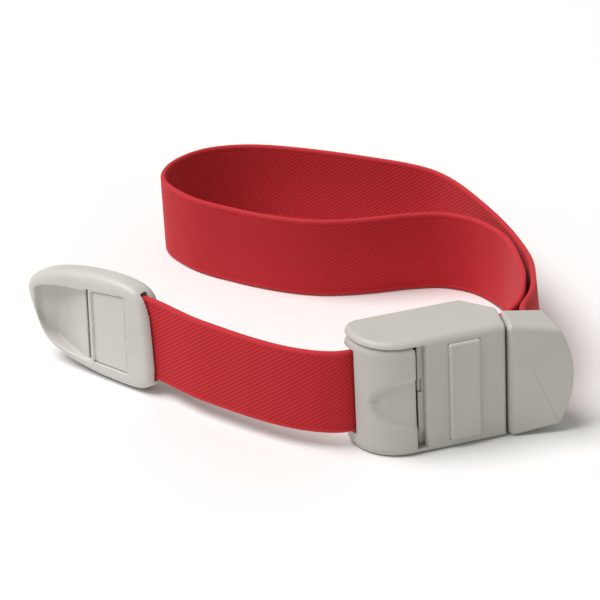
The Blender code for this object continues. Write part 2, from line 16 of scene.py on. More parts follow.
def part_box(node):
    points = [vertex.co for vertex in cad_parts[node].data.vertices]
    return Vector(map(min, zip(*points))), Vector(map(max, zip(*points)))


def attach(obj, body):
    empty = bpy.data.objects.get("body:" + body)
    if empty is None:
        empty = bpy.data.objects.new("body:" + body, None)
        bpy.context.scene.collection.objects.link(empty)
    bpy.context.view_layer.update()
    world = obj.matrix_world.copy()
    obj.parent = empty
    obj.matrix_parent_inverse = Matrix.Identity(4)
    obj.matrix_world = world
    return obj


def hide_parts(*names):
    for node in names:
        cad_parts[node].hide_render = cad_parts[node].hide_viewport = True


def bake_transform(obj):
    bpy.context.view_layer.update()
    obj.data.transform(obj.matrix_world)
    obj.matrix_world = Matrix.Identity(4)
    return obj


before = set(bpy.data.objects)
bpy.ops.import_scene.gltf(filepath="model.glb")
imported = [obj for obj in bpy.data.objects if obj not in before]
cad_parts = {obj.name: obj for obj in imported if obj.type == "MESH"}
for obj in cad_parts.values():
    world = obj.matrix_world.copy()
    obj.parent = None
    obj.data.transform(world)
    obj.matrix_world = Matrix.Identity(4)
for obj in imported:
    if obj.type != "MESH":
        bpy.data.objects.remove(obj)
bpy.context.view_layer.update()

MM = 0.001
CASING_LOW, CASING_HIGH = (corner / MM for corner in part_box("casing_shell"))
WORLD = Matrix.Translation((0, CASING_LOW.y * MM, 0)) @ Matrix.Scale(MM, 4)
HEIGHT = CASING_HIGH.z
DEPTH = CASING_HIGH.y - CASING_LOW.y
LEFT, RIGHT = CASING_LOW.x, CASING_HIGH.x

# Clasp
BIG_CORNER = 13.0  # radius of the front corner at the lever's end
BACK_CORNER = 4.0
BOTTOM_PLATE = 1.6
TOP_PLATE = 1.5
INNER_TOP = HEIGHT - TOP_PLATE
FRONT_WALL = 1.8
FRONT_RIGHT = 12.4  # where the front ends, beside the plug
FLAT_FRONT_LEFT = -10.0  # left of this the lever takes the front wall's place
RIGHT_WALL_BACK = 9.3
STOP_LEFT = -11.5  # a stop for the lever, behind the front wall's left end
STOP_BACK = 2.7
STOP_SKIN = 0.3  # thickness that is left where the stop has a recess
COVER_FRONT, COVER_BACK = 15.8, 17.6  # the rear cover's two faces
TONGUE_FRONT, TONGUE_BACK = 4.5, 7.5  # the opening that the plug's tongue slides in
TONGUE_BOTTOM, TONGUE_TOP = 9.2, 22.8
GAP = 0.3  # between pieces that move past each other
FAR = 40.0  # past every side of the clasp, for cutters that are open there

# Lever
LEVER_CENTRE = (-13.1, 13.6)
LEVER_RADIUS = 13.9
LEVER_THICK = 3.5
LEVER_LEFT_ANGLE = 178.5  # where 180 is -X and 270 is -Y
LEVER_RIGHT = -12.3
LEVER_BOTTOM, LEVER_TOP = 1.65, INNER_TOP - 0.2
LEVER_PIVOT = (-19.5, 6.5)
LEVER_NOTCH = (-23.0, 9.0)  # left of and behind this the lever is open for the band
LEVER_NOTCH_ROOM = 0.35
SPRING_SEAT = (13.6, 18.6)  # heights of the spring's place in the lever's hub
DIMPLE_MIDDLE = 15.1  # height of the dimple's middle
DIMPLE_HALF = 7.5  # half of its height
DIMPLE_REACH = 13.6  # along the lever from its right edge
DIMPLE_DEPTH = 1.4

# Press bar and plug
BAR_LEFT, BAR_RIGHT = -3.5, 5.3
BAR_BOTTOM, BAR_TOP = 2.4, 30.8
BAR_PROUD = 0.95  # how far it stands out of the front, and the rounding of its rim
BAR_BACK = 2.6
BAR_CORNER = 0.7
PLUG_LEFT = 12.9
PLUG_SLANT = 0.15  # how much its left face slants, so that it follows the casing's end
PLUG_CORNER_X = 26.1  # where the straight top and bottom meet the bulging end
PLUG_TIP_X = 29.9
PLUG_BACK = 9.0
PLUG_PROUD = 0.6  # how far the front stands out at its left edge
PLUG_FLARE = 2.65  # how much further it stands out at its right corners
PLUG_TAPER = 2.5  # how much lower the right corners are than the left ones
PLUG_EDGE_ROUND = 2.1  # rounding of the long left edge
PLUG_HOLLOW_LEFT = 15.3
PLUG_HOLLOW_INSET = 0.9
PLUG_OPEN_BACK = PLUG_BACK + 5  # past its open back, for cutters
BAND_BAR = (20.8, 4.6)

# Band
BAND_WIDTH = 24.2
BAND_THICK = 1.6
BAND_BOTTOM = 4.5  # its height above the floor in the clasp and in the tab
BAND_SLOT_ROOM = 0.4  # above and below it, in the slots that it runs through
BAND_CHANNEL_Y = 12.2
TAB_HOLD = 20.0  # the length that the tab holds
DROOP_FROM, DROOP_TO = 10.0, 82.0  # it sinks to the floor between these, behind the clasp
BAND_STEP = 0.8  # length of one row of its mesh
SPLIT_Y = 72.0  # where the run that follows the plug starts, on the far side of the loop
PLUG_LEAN = 5.0  # degrees by which the far run's foot tips outwards, before the plug
LEAN_STARTS, LEAN_FULL = 62.0, 28.0  # distances behind the front, as the run comes forward
LEAN_EASES, LEAN_ENDS = 19.0, 7.0
LEAN_PIVOT = 0.95  # the line that it tips about, as a share of the width

# Pull tab, in its own frame
TAB_AT = (-67.6, 58.1)  # its mouth, in the clasp's frame
TAB_ANGLE = 122.8
TAB_LEAN = 2.5  # degrees by which it tips back
TAB_RISE = 0.25
TAB_FRONT, TAB_BACK = 3.0, -4.4
CHANNEL_HALF = 1.15  # half the thickness of the band's slot
CLAMP_PIN = (21.0, 0.9)
CLAMP_BOTTOM, CLAMP_TOP = 4.5, 27.1
CLAMP_LEFT = 8.1
CLAMP_FRONT, CLAMP_BACK = 2.5, 1.5
CLAMP_BARREL = 1.5  # radius of its hinge barrel
WINDOW_BOTTOM = CLAMP_BOTTOM - GAP
WINDOW_TOP, WINDOW_TOP_AT_PIN = 27.4, 25.8  # the window's top edge falls towards the hinge
TAB = (
    WORLD
    @ Matrix.Translation((*TAB_AT, TAB_RISE))
    @ Matrix.Rotation(math.radians(TAB_ANGLE), 4, "Z")
    @ Matrix.Rotation(math.radians(TAB_LEAN), 4, "X")
)
TAB_OUTLINE = [
    (-1.2, 5.0), (1.6, 1.4), (6.0, 0.0), (16.0, 0.0), (24.0, 0.7), (32.0, 2.2), (38.0, 4.8),
    (41.2, 8.2), (43.8, 14.0), (45.4, 19.4), (44.6, 22.6), (41.6, 25.2), (36.0, 27.6),
    (28.0, 29.6), (20.0, 30.8), (12.0, 31.2), (6.0, 30.6), (2.6, 29.0), (0.6, 26.0), (-0.6, 20.0),
]

# The band's way in plan, with the same points as in the part's source
FREE_END_ROUTE = [
    (-63.7, 50.6), (-59.9, 43.1), (-54.0, 34.2), (-48.2, 26.2), (-41.9, 19.0), (-35.7, 13.9),
    (-30.1, 11.1), (-26.0, 10.7), (-22.6, 12.0),
]
CHANNEL_ROUTE = [(x, BAND_CHANNEL_Y) for x in (-20.0, -10.0, 0.0, 7.0)]
LOOP_ROUTE = [
    (12.6, 12.9), (17.2, 14.3), (21.4, 17.6), (25.4, 22.4), (29.2, 29.7), (32.7, 38.3), (34.9, 47.0),
    (36.8, 55.5), (37.7, 63.2), (37.0, 70.8), (34.0, 79.4), (27.5, 86.1), (20.8, 88.7), (13.8, 90.2),
    (6.8, 91.3), (0.0, 92.9), (-6.5, 95.2), (-12.5, 98.7), (-18.3, 103.4), (-23.9, 108.9),
    (-29.3, 115.2), (-33.9, 120.9), (-37.8, 127.8), (-40.8, 137.5), (-40.3, 144.0), (-36.9, 150.0),
    (-31.2, 154.5), (-23.2, 157.0), (-14.3, 155.8), (-6.0, 152.2), (3.4, 145.7), (12.4, 138.3),
    (21.1, 130.4), (28.7, 123.0), (34.5, 115.3), (37.6, 107.0), (39.2, 98.2), (40.2, 88.5),
    (40.9, 78.5), (40.8, 68.5), (40.0, 59.5), (38.9, 51.3), (37.5, 44.0), (35.3, 36.8), (32.0, 28.3),
]
PLUG_ROUTE = [(28.5, 22.3), (24.7, 17.7), (22.7, 13.6), (22.7, 9.2)]


def smooth(value):
    value = min(max(value, 0.0), 1.0)
    return value * value * (3 - 2 * value)


def rolled(share):
    """How far a rounded rim has dropped, from 1 on its edge to 0 where the rounding starts."""
    share = min(max(1 - share, 0.0), 1.0)
    return 1 - math.sqrt(1 - share * share)


# ---------------------------------------------------------------- materials


class Nodes:
    """A short way to write a node tree: each call adds a node, links or sets its inputs and returns it."""

    def __init__(self, name):
        self.material = bpy.data.materials.new(name)
        self.material.use_nodes = True
        self.tree = self.material.node_tree
        self.shader = self.tree.nodes["Principled BSDF"]

    def put(self, socket, value):
        if isinstance(value, bpy.types.NodeSocket):
            self.tree.links.new(value, socket)
        else:
            socket.default_value = value

    def add(self, kind, *inputs, **settings):
        made = self.tree.nodes.new("ShaderNode" + kind)
        for name, value in settings.items():
            setattr(made, name, value)
        for socket, value in zip(made.inputs, inputs):
            if value is not None:
                self.put(socket, value)
        return made

    def maths(self, operation, *inputs):
        return self.add("Math", *inputs, operation=operation).outputs[0]

    def noise(self, coordinates, scale, detail=2.0):
        made = self.add("TexNoise", coordinates)
        made.inputs["Scale"].default_value = scale
        made.inputs["Detail"].default_value = detail
        return made.outputs["Fac"]

    def ramp(self, value, *stops):
        """A colour ramp through (place, colour) stops."""
        made = self.add("ValToRGB", value)
        elements = made.color_ramp.elements
        while len(elements) < len(stops):
            elements.new(0.5)
        for element, (place, colour) in zip(elements, stops):
            element.position = place
            element.color = (*colour, 1.0)
        return made.outputs["Color"]

    def mix(self, share, first, second, kind="MIX"):
        made = self.add("Mix", data_type="RGBA", blend_type=kind)
        self.put(made.inputs[0], share)
        self.put(made.inputs[6], first)
        self.put(made.inputs[7], second)
        return made.outputs[2]

    def bump(self, height, strength, distance, normal=None):
        made = self.add("Bump")
        made.inputs["Height"].default_value = 0.0
        made.inputs["Strength"].default_value = strength
        made.inputs["Distance"].default_value = distance
        self.put(made.inputs["Height"], height)
        if normal:
            self.put(made.inputs["Normal"], normal)
        return made.outputs["Normal"]

    def set(self, **values):
        for name, value in values.items():
            self.put(self.shader.inputs[name.replace("_", " ")], value)
        return self.material


def plastic(name, colour, roughness, grain=0.12):
    """Moulded plastic: fine spark-eroded grain, faint flow marks, and convex edges painted paler as a
    highlight and made glossier.
    """
    n = Nodes(name)
    place = n.add("TexCoord").outputs["Object"]
    flow = n.noise(place, 55.0, 3.0)
    grains = n.noise(place, 2600.0, 2.0)
    specks = n.noise(place, 700.0, 1.0)
    light = tuple(min(1.0, c * 1.035) for c in colour)
    dark = tuple(c * 0.955 for c in colour)
    base = n.ramp(flow, (0.3, dark), (0.7, light))
    # Painted highlight: convex edges, found by pointiness, get a paler colour. They also get a lower
    # roughness.
    convexity = n.add("NewGeometry").outputs["Pointiness"]
    edge = n.add("MapRange", convexity, 0.515, 0.56, 0.0, 0.22).outputs[0]
    pale = tuple(min(1.0, c * 1.12 + 0.01) for c in colour)
    base = n.mix(edge, base, (*pale, 1.0))
    rough = n.add("MapRange", specks, 0.3, 0.7, roughness - 0.05, roughness + 0.05).outputs[0]
    rough = n.maths("SUBTRACT", rough, n.maths("MULTIPLY", edge, 0.35))
    fine = n.bump(grains, grain, 0.00006)
    wavy = n.bump(flow, 0.05, 0.0004, fine)
    n.set(Base_Color=base, Roughness=rough, Normal=wavy)
    n.shader.inputs["IOR"].default_value = 1.49
    n.shader.inputs["Specular IOR Level"].default_value = 0.42
    n.shader.inputs["Subsurface Weight"].default_value = 0.06
    n.shader.inputs["Subsurface Radius"].default_value = (1.0, 0.9, 0.8)
    n.shader.inputs["Subsurface Scale"].default_value = 0.0012
    return n.material


def steel(name):
    """Ground steel with fine lines along the pin."""
    n = Nodes(name)
    place = n.add("TexCoord").outputs["Object"]
    stretched = n.add("Mapping", place)
    stretched.inputs["Scale"].default_value = (1.0, 1.0, 0.04)
    lines = n.noise(stretched.outputs[0], 4000.0, 2.0)
    base = n.ramp(lines, (0.3, (0.42, 0.42, 0.43)), (0.7, (0.62, 0.62, 0.63)))
    rough = n.add("MapRange", lines, 0.3, 0.7, 0.22, 0.42).outputs[0]
    n.set(Base_Color=base, Roughness=rough, Normal=n.bump(lines, 0.15, 0.00003))
    n.shader.inputs["Metallic"].default_value = 1.0
    return n.material


RIB_PITCH = 0.98  # mm between the twill's ribs
RIB_ANGLE = 35.0  # of the ribs to the band's length
SELVEDGE = 1.0  # mm of plain edge beside the ribs


def elastic(name):
    """Twill-woven elastic. The attribute weave holds mm along the band, mm across it, and 0."""
    n = Nodes(name)
    weave = n.add("Attribute", attribute_name="weave").outputs["Vector"]
    split = n.add("SeparateXYZ", weave)
    along, across = split.outputs[0], split.outputs[1]
    wander = n.maths("MULTIPLY", n.maths("SUBTRACT", n.noise(weave, 0.3, 2.0), 0.5), 0.5)
    turn = math.radians(RIB_ANGLE)
    rise = n.maths("MULTIPLY", across, math.cos(turn))
    run = n.maths("MULTIPLY", along, math.sin(turn))
    phase = n.maths("ADD", n.maths("SUBTRACT", rise, run), wander)
    wave = n.maths("SINE", n.maths("MULTIPLY", phase, 2 * math.pi / RIB_PITCH))
    rib = n.add("MapRange", wave, -1.0, 1.0, 0.0, 1.0).outputs[0]
    steep = math.tan(turn)
    ahead = n.maths("ADD", n.maths("MULTIPLY", rise, steep), n.maths("DIVIDE", run, steep))
    stitch = n.maths("SINE", n.maths("MULTIPLY", ahead, 2 * math.pi / 0.8))
    yarn = n.add("MapRange", stitch, -1.0, 1.0, 0.0, 1.0).outputs[0]
    fuzz = n.noise(weave, 5.0, 3.0)
    middle = n.maths("ABSOLUTE", n.maths("SUBTRACT", across, BAND_WIDTH / 2))
    inner = BAND_WIDTH / 2 - SELVEDGE
    edge = n.add("MapRange", middle, inner - 0.25, inner + 0.1, 0.0, 1.0).outputs[0]
    picks = n.maths("SINE", n.maths("MULTIPLY", along, 2 * math.pi / 0.7))
    rim = n.add("MapRange", picks, -1.0, 1.0, 0.5, 0.85).outputs[0]
    body = n.maths("ADD", n.maths("MULTIPLY", rib, 0.75), n.maths("MULTIPLY", yarn, 0.25))
    height = n.add("Mix", edge, None, body, rim).outputs[0]
    height = n.maths("ADD", height, n.maths("MULTIPLY", fuzz, 0.22))
    # Painted shade and highlight: the colour follows the weave's height. It is darker in the hollows
    # between the ribs and paler on their crowns.
    hollow, level, crown = (0.40, 0.013, 0.018), (0.485, 0.02, 0.027), (0.56, 0.032, 0.042)
    cloth = n.ramp(height, (0.1, hollow), (0.5, level), (1.0, crown))
    patches = n.noise(weave, 0.06, 2.0)
    cloth = n.mix(n.maths("MULTIPLY", patches, 0.25), cloth, (0.40, 0.014, 0.018, 1.0))
    # Painted highlight: both selvedges are mixed towards a paler red.
    cloth = n.mix(n.maths("MULTIPLY", edge, 0.3), cloth, (0.62, 0.05, 0.06, 1.0))
    rough = n.add("MapRange", fuzz, 0.2, 0.8, 0.72, 0.92).outputs[0]
    n.set(Base_Color=cloth, Roughness=rough, Normal=n.bump(height, 0.5, 0.00018))
    n.shader.inputs["Sheen Weight"].default_value = 0.2
    n.shader.inputs["Sheen Roughness"].default_value = 0.45
    n.shader.inputs["Sheen Tint"].default_value = (1.0, 0.35, 0.35, 1.0)
    n.shader.inputs["Specular IOR Level"].default_value = 0.15
    return n.material


CLASP_PLASTIC = plastic("clasp_plastic", (0.50, 0.49, 0.45), 0.44)
TAB_PLASTIC = plastic("tab_plastic", (0.575, 0.562, 0.53), 0.38, 0.05)
STEEL = steel("pin_steel")
ELASTIC = elastic("band_elastic")


# ---------------------------------------------------------------- mesh helpers


def to_object(name, shape, matrix=WORLD, look=None):
    """A bmesh drawn in millimetres as an object in the frame's metres."""
    bmesh.ops.recalc_face_normals(shape, faces=shape.faces)
    mesh = bpy.data.meshes.new(name)
    shape.to_mesh(mesh)
    shape.free()
    mesh.transform(matrix)
    if look:
        mesh.materials.append(look)
    made = bpy.data.objects.new(name, mesh)
    bpy.context.scene.collection.objects.link(made)
    return made


def evaluated_mesh(target):
    graph = bpy.context.evaluated_depsgraph_get()
    return bpy.data.meshes.new_from_object(target.evaluated_get(graph))


def freeze(target, cutters=()):
    """Applies the modifiers of an object and removes the cutters that they used."""
    mesh = evaluated_mesh(target)
    target.modifiers.clear()
    old = target.data
    target.data = mesh
    bpy.data.meshes.remove(old)
    mesh.name = target.name
    for cutter in cutters:
        bpy.data.objects.remove(cutter)
    return target


def combine(target, others, operation="DIFFERENCE"):
    """Cuts the others from the target, or joins them to it."""
    for other in others:
        step = target.modifiers.new(other.name, "BOOLEAN")
        step.operation = operation
        step.object = other
    return freeze(target, others)


def soften(target, width, segments=3, angle=32.0):
    """Rounds what is still sharp, after tidying the short edges that a cut leaves."""
    shape = bmesh.new()
    shape.from_mesh(target.data)
    bmesh.ops.remove_doubles(shape, verts=shape.verts, dist=0.02 * MM)
    bmesh.ops.dissolve_limit(shape, angle_limit=math.radians(0.3), verts=shape.verts, edges=shape.edges)
    shape.to_mesh(target.data)
    shape.free()
    step = target.modifiers.new("rounded_rims", "BEVEL")
    step.width = width * MM
    step.segments = segments
    step.limit_method = "ANGLE"
    step.angle_limit = math.radians(angle)
    step.miter_outer = "MITER_ARC"
    return freeze(target)


def shade(target, angle=38.0):
    """Smooth shading that keeps flat faces flat."""
    target.data.shade_smooth()
    target.data.set_sharp_from_angle(angle=math.radians(angle))
    step = target.modifiers.new("face_normals", "WEIGHTED_NORMAL")
    step.keep_sharp = True
    step.weight = 80
    return target


def dress(piece, body, nodes):
    """Puts a finished piece on its body, in the place of its CAD nodes."""
    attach(piece, body)
    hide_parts(*nodes)
    return piece


def ring(corners, turn):
    """One ring of a rounded prism: its points, each with the rounding that applies there.

    A corner is (x, y, fillet, rounding), where rounding is that of the edge to the next corner.
    turn is 0 at the wall and 90 degrees where the rounding reaches the cap.
    """
    sink = 1 - math.cos(math.radians(turn))
    count = len(corners)
    lines = []
    for index, (x, y, _, rounding) in enumerate(corners):
        after = corners[(index + 1) % count]
        way = Vector((after[0] - x, after[1] - y)).normalized()
        inward = Vector((-way.y, way.x))
        lines.append((Vector((x, y)) + inward * rounding * sink, way))
    points = []
    for index, (_, _, fillet, rounding) in enumerate(corners):
        (start, way), (other, onward) = lines[index - 1], lines[index]
        before = corners[index - 1][3]
        cross = way.cross(onward)
        if abs(cross) < 1e-6:
            points.append((other.x, other.y, rounding))
            continue
        corner = start + way * ((other - start).cross(onward) / cross)
        if not fillet:
            points.append((corner.x, corner.y, (before + rounding) / 2))
            continue
        bend = math.atan2(cross, way.dot(onward))
        radius = max(fillet - (before + rounding) / 2 * sink, 0.12)
        reach = radius * math.tan(bend / 2)
        centre = corner - way * reach + Vector((-way.y, way.x)) * radius
        steps = max(4, round(math.degrees(bend) * (2 + fillet) / 14))
        first = math.atan2(-way.x, way.y)
        for step in range(steps + 1):
            angle = first + bend * step / steps
            share = step / steps
            points.append((
                centre.x + radius * math.cos(angle),
                centre.y + radius * math.sin(angle),
                before + (rounding - before) * share,
            ))
    return points


def rounded_prism(corners, low, high, low_round=None, steps=6, along="Z"):
    """A prism on a convex outline, with every edge of its two caps rounded.

    The corners' own roundings are for the high cap. low_round scales them for the low cap, or is
    a list with one for each edge. low and high are numbers or functions of the point.
    """
    height = [end if callable(end) else (lambda x, y, end=end: end) for end in (low, high)]
    if low_round is None:
        low_round = 1.0
    if not isinstance(low_round, list):
        low_round = [corner[3] * low_round for corner in corners]
    low_corners = [(*corner[:3], rounding) for corner, rounding in zip(corners, low_round)]
    shape = bmesh.new()
    rings = []
    for side, outline in ((0, low_corners), (1, corners)):
        turns = [90.0 * step / steps for step in range(steps + 1)]
        for turn in (turns[::-1] if side == 0 else turns):
            line = []
            for x, y, rounding in ring(outline, turn):
                rise = rounding * (1 - math.sin(math.radians(turn)))
                level = height[side](x, y) + (rise if side == 0 else -rise)
                place = (x, y, level) if along == "Z" else (x, level, y)
                line.append(shape.verts.new(place))
            rings.append(line)
    for one, two in zip(rings, rings[1:]):
        for a, b, c, d in zip(one, one[1:] + one[:1], two[1:] + two[:1], two):
            shape.faces.new((a, b, c, d))
    shape.faces.new(rings[0])
    shape.faces.new(rings[-1])
    return shape


def arc(centre, radius, start, end, steps):
    """Points on an arc, from one angle in degrees to another."""
    points = []
    for step in range(steps + 1):
        angle = math.radians(start + (end - start) * step / steps)
        points.append((centre[0] + radius * math.cos(angle), centre[1] + radius * math.sin(angle)))
    return points


def prism(outline, low, high, along="Z"):
    """A plain prism on any outline, for cutting and joining."""
    shape = bmesh.new()
    rows = []
    for level in (low, high):
        rows.append([shape.verts.new((x, y, level) if along == "Z" else (x, level, y)) for x, y in outline])
    shape.faces.new(rows[0])
    shape.faces.new(rows[1])
    for a, b, c, d in zip(rows[0], rows[0][1:] + rows[0][:1], rows[1][1:] + rows[1][:1], rows[1]):
        shape.faces.new((a, b, c, d))
    return shape


def box(low, high):
    (left, front, bottom), (right, back, top) = low, high
    return prism([(left, front), (right, front), (right, back), (left, back)], bottom, top)


def cylinder(at, radius, low, high, sides=48):
    return prism(arc(at, radius, 0, 360 - 360 / sides, sides - 1), low, high)


# ---------------------------------------------------------------- band


def tab_point(along):
    """A point in plan on the band's line inside the tab, so far from the tab's mouth."""
    angle = math.radians(TAB_ANGLE)
    return (TAB_AT[0] + along * math.cos(angle), TAB_AT[1] + along * math.sin(angle))


def through(route, per_step):
    """Points on a smooth curve (Catmull-Rom) through a route in plan."""
    knots = [tuple(2 * a - b for a, b in zip(route[0], route[1]))] + route
    knots.append(tuple(2 * a - b for a, b in zip(route[-1], route[-2])))
    points = []
    for one, two, three, four in zip(knots, knots[1:], knots[2:], knots[3:]):
        for step in range(per_step):
            t = step / per_step
            points.append(tuple(
                b + 0.5 * t * (c - a + t * (2 * a - 5 * b + 4 * c - d + t * (3 * b - a - 3 * c + d)))
                for a, b, c, d in zip(one, two, three, four)
            ))
    points.append(route[-1])
    return points


def evenly(points, spacing):
    """The same line in plan with a point every so many millimetres."""
    lengths = [0.0]
    for first, second in zip(points, points[1:]):
        lengths.append(lengths[-1] + math.dist(first, second))
    count = round(lengths[-1] / spacing)
    even = []
    index = 0
    for step in range(count + 1):
        length = lengths[-1] * step / count
        while index < len(points) - 2 and lengths[index + 1] < length:
            index += 1
        share = (length - lengths[index]) / (lengths[index + 1] - lengths[index])
        even.append(tuple(a + (b - a) * share for a, b in zip(points[index], points[index + 1])))
    return even


def relaxed(points, rounds):
    """The line with its small wobbles evened out. Its ends stay."""
    for _ in range(rounds):
        middle = [
            tuple((a + 2 * b + c) / 4 for a, b, c in zip(*three))
            for three in zip(points, points[1:], points[2:])
        ]
        points = points[:1] + middle + points[-1:]
    return points


def band_profile():
    """The band's cross-section: (mm across, mm off the middle), round the whole edge."""
    half = BAND_THICK / 2
    bead = half - 0.02
    turns = [math.radians(angle) for angle in (0, 22, 45, 68, 90)]
    side = [(bead * (1 - math.cos(turn)), bead * math.sin(turn)) for turn in turns]
    side += [(SELVEDGE + 0.1, half - 0.04), (SELVEDGE + 0.5, half - 0.13), (SELVEDGE + 1.0, half - 0.05)]
    flat = [(SELVEDGE + 2.4 + (BAND_WIDTH / 2 - SELVEDGE - 2.4) * step / 5, half) for step in range(6)]
    front = side + flat
    front += [(BAND_WIDTH - across, off) for across, off in front[-2::-1]]
    return front + [(across, -off) for across, off in front[-2:0:-1]]


def band_line():
    """The band's middle line in plan, from its end in the tab to its end round the plug's bar."""
    in_tab = [tab_point(18.6), tab_point(12.0), tab_point(5.0), tab_point(-2.0)]
    wrap = arc(BAND_BAR, 2.3, 0, -180, 8)
    line = through(in_tab + FREE_END_ROUTE + CHANNEL_ROUTE + LOOP_ROUTE + PLUG_ROUTE, 12)
    line = relaxed(evenly(line, BAND_STEP), 6)
    return evenly(line[:-1] + through([line[-1]] + wrap, 4), BAND_STEP)


def band_rows(line):
    """Each point of the band's line with the frame of its cross-section there."""
    clasp_entry = min(range(len(line)), key=lambda index: math.dist(line[index], CHANNEL_ROUTE[0]))
    rows = []
    for index, point in enumerate(line):
        before = line[max(index - 1, 0)]
        after = line[min(index + 1, len(line) - 1)]
        way = Vector((after[0] - before[0], after[1] - before[1], 0)).normalized()
        side = Vector((-way.y, way.x, 0))
        gone = index * BAND_STEP
        lean = TAB_LEAN * (1 - smooth((gone - TAB_HOLD) / (clasp_entry * BAND_STEP - TAB_HOLD)))
        rise = BAND_BOTTOM
        if index > clasp_entry:
            rise *= 1 - smooth((point[1] - DROOP_FROM) / (DROOP_TO - DROOP_FROM))
        base = Vector((point[0], point[1], 0))
        far_run = index > len(line) // 2 and point[0] > 0
        if far_run:
            tip = PLUG_LEAN * smooth((LEAN_STARTS - point[1]) / (LEAN_STARTS - LEAN_FULL))
            tip *= smooth((point[1] - LEAN_ENDS) / (LEAN_EASES - LEAN_ENDS))
            lean -= tip
            base += side * BAND_WIDTH * LEAN_PIVOT * math.sin(math.radians(tip))
        angle = math.radians(lean)
        up = Vector((0, 0, 1)) * math.cos(angle) + side * math.sin(angle)
        across = Vector((0, 0, -1)) * math.sin(angle) + side * math.cos(angle)
        rows.append((base, up, across, rise, gone))
    return rows


def band_piece(name, rows):
    """A strip with the band's cross-section on every row, and the weave's own coordinates."""
    profile = band_profile()
    shape = bmesh.new()
    weave = []
    lines = []
    for base, up, out, rise, gone in rows:
        line = []
        for across, off in profile:
            line.append(shape.verts.new(base + up * (rise + across) + out * off))
            weave += [gone, across, 0.0]
        lines.append(line)
    for one, two in zip(lines, lines[1:]):
        for a, b, c, d in zip(one, one[1:] + one[:1], two[1:] + two[:1], two):
            shape.faces.new((a, b, c, d))
    shape.faces.new(lines[0])
    shape.faces.new(lines[-1])
    piece = to_object(name, shape, WORLD, ELASTIC)
    attribute = piece.data.attributes.new("weave", "FLOAT_VECTOR", "POINT")
    attribute.data.foreach_set("vector", weave)
    piece.data.shade_smooth()
    piece.data.set_sharp_from_angle(angle=math.radians(60))
    return piece


def make_band():
    rows = band_rows(band_line())
    split = max(
        index for index, row in enumerate(rows) if row[0].y > SPLIT_Y and index > len(rows) // 2
    )
    band = band_piece("elastic_band", rows[: split + 1])
    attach(band, "clasp")
    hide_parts("band_free_end", "band_in_clasp", "band_loop_near", "band_loop_far")
    end = band_piece("elastic_band_plug_end", rows[split:])
    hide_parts("band_sewn_end")
    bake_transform(end)


# ---------------------------------------------------------------- clasp


def make_casing():
    """Front wall, end wall, top plate and bottom plate, with the bar's window and the lever's stop."""
    corners = [
        (LEFT, 0.0, BIG_CORNER, 2.3), (FRONT_RIGHT, 0.0, 1.3, 0.9), (RIGHT, 10.0, 2.4, 0.7),
        (6.3, DEPTH, 1.2, 0.7), (LEFT, DEPTH, BACK_CORNER, 1.5),
    ]
    under = [1.3, 0.25, 0.4, 0.4, 0.8]
    casing = to_object("casing", rounded_prism(corners, 0.0, HEIGHT, under), look=CLASP_PLASTIC)
    lip = 1.5
    hollow = [(-FAR, -FAR), (FLAT_FRONT_LEFT + lip, -FAR)]
    hollow += arc((FLAT_FRONT_LEFT + lip, lip - 0.004), lip, 270, 180, 8)
    hollow += [
        (FLAT_FRONT_LEFT, FRONT_WALL), (STOP_LEFT, FRONT_WALL), (STOP_LEFT, STOP_BACK),
        (FLAT_FRONT_LEFT + 2, STOP_BACK), (FLAT_FRONT_LEFT + 2, FRONT_WALL),
        (FRONT_RIGHT - FRONT_WALL, FRONT_WALL),
        (FRONT_RIGHT - FRONT_WALL, RIGHT_WALL_BACK), (FAR, RIGHT_WALL_BACK), (FAR, FAR), (-FAR, FAR),
    ]
    room = 0.04
    window = box(
        (BAR_LEFT - room, -2.0, BAR_BOTTOM - room), (BAR_RIGHT + room, FRONT_WALL + 0.2, BAR_TOP + room)
    )
    tongue_mouth = box((8.0, TONGUE_FRONT, TONGUE_BOTTOM), (16.0, TONGUE_BACK, TONGUE_TOP))
    recess_front, recess_back = FRONT_WALL - 0.1, STOP_BACK - STOP_SKIN
    cutters = [
        to_object("cut_hollow", prism(hollow, BOTTOM_PLATE, INNER_TOP)),
        to_object("cut_window", window),
        to_object("cut_tongue_mouth", tongue_mouth),
        to_object("cut_stop_foot", box((-12.0, recess_front, 1.0), (-9.0, recess_back, 5.6))),
        to_object("cut_stop_step", box((-12.0, recess_front, 17.4), (-10.5, recess_back, 21.4))),
    ]
    combine(casing, cutters)
    soften(casing, 0.18, 2)
    shade(casing)
    dress(casing, "clasp", ["casing_shell"])


def make_rear_cover():
    """The wall on the arm's side, bent at its right end, with the slot that the loop leaves by."""
    outline = [
        (-25.0, 14.5), (-24.6, 16.2), (-22.9, COVER_BACK), (6.1, COVER_BACK), (13.5, 9.9), (11.3, 9.9),
        (5.3, COVER_FRONT), (-22.9, COVER_FRONT), (-23.7, 14.5),
    ]
    cover = to_object("rear_wall", prism(outline, BOTTOM_PLATE + 0.1, INNER_TOP - 0.1), look=CLASP_PLASTIC)
    slot = to_object("cut_slot", box(
        (2.0, BAND_CHANNEL_Y - 1.15, BAND_BOTTOM - BAND_SLOT_ROOM),
        (20.0, BAND_CHANNEL_Y + 1.85, BAND_BOTTOM + BAND_WIDTH + BAND_SLOT_ROOM),
    ))
    combine(cover, [slot])
    soften(cover, 0.35, 3)
    shade(cover)
    dress(cover, "clasp", ["rear_cover"])


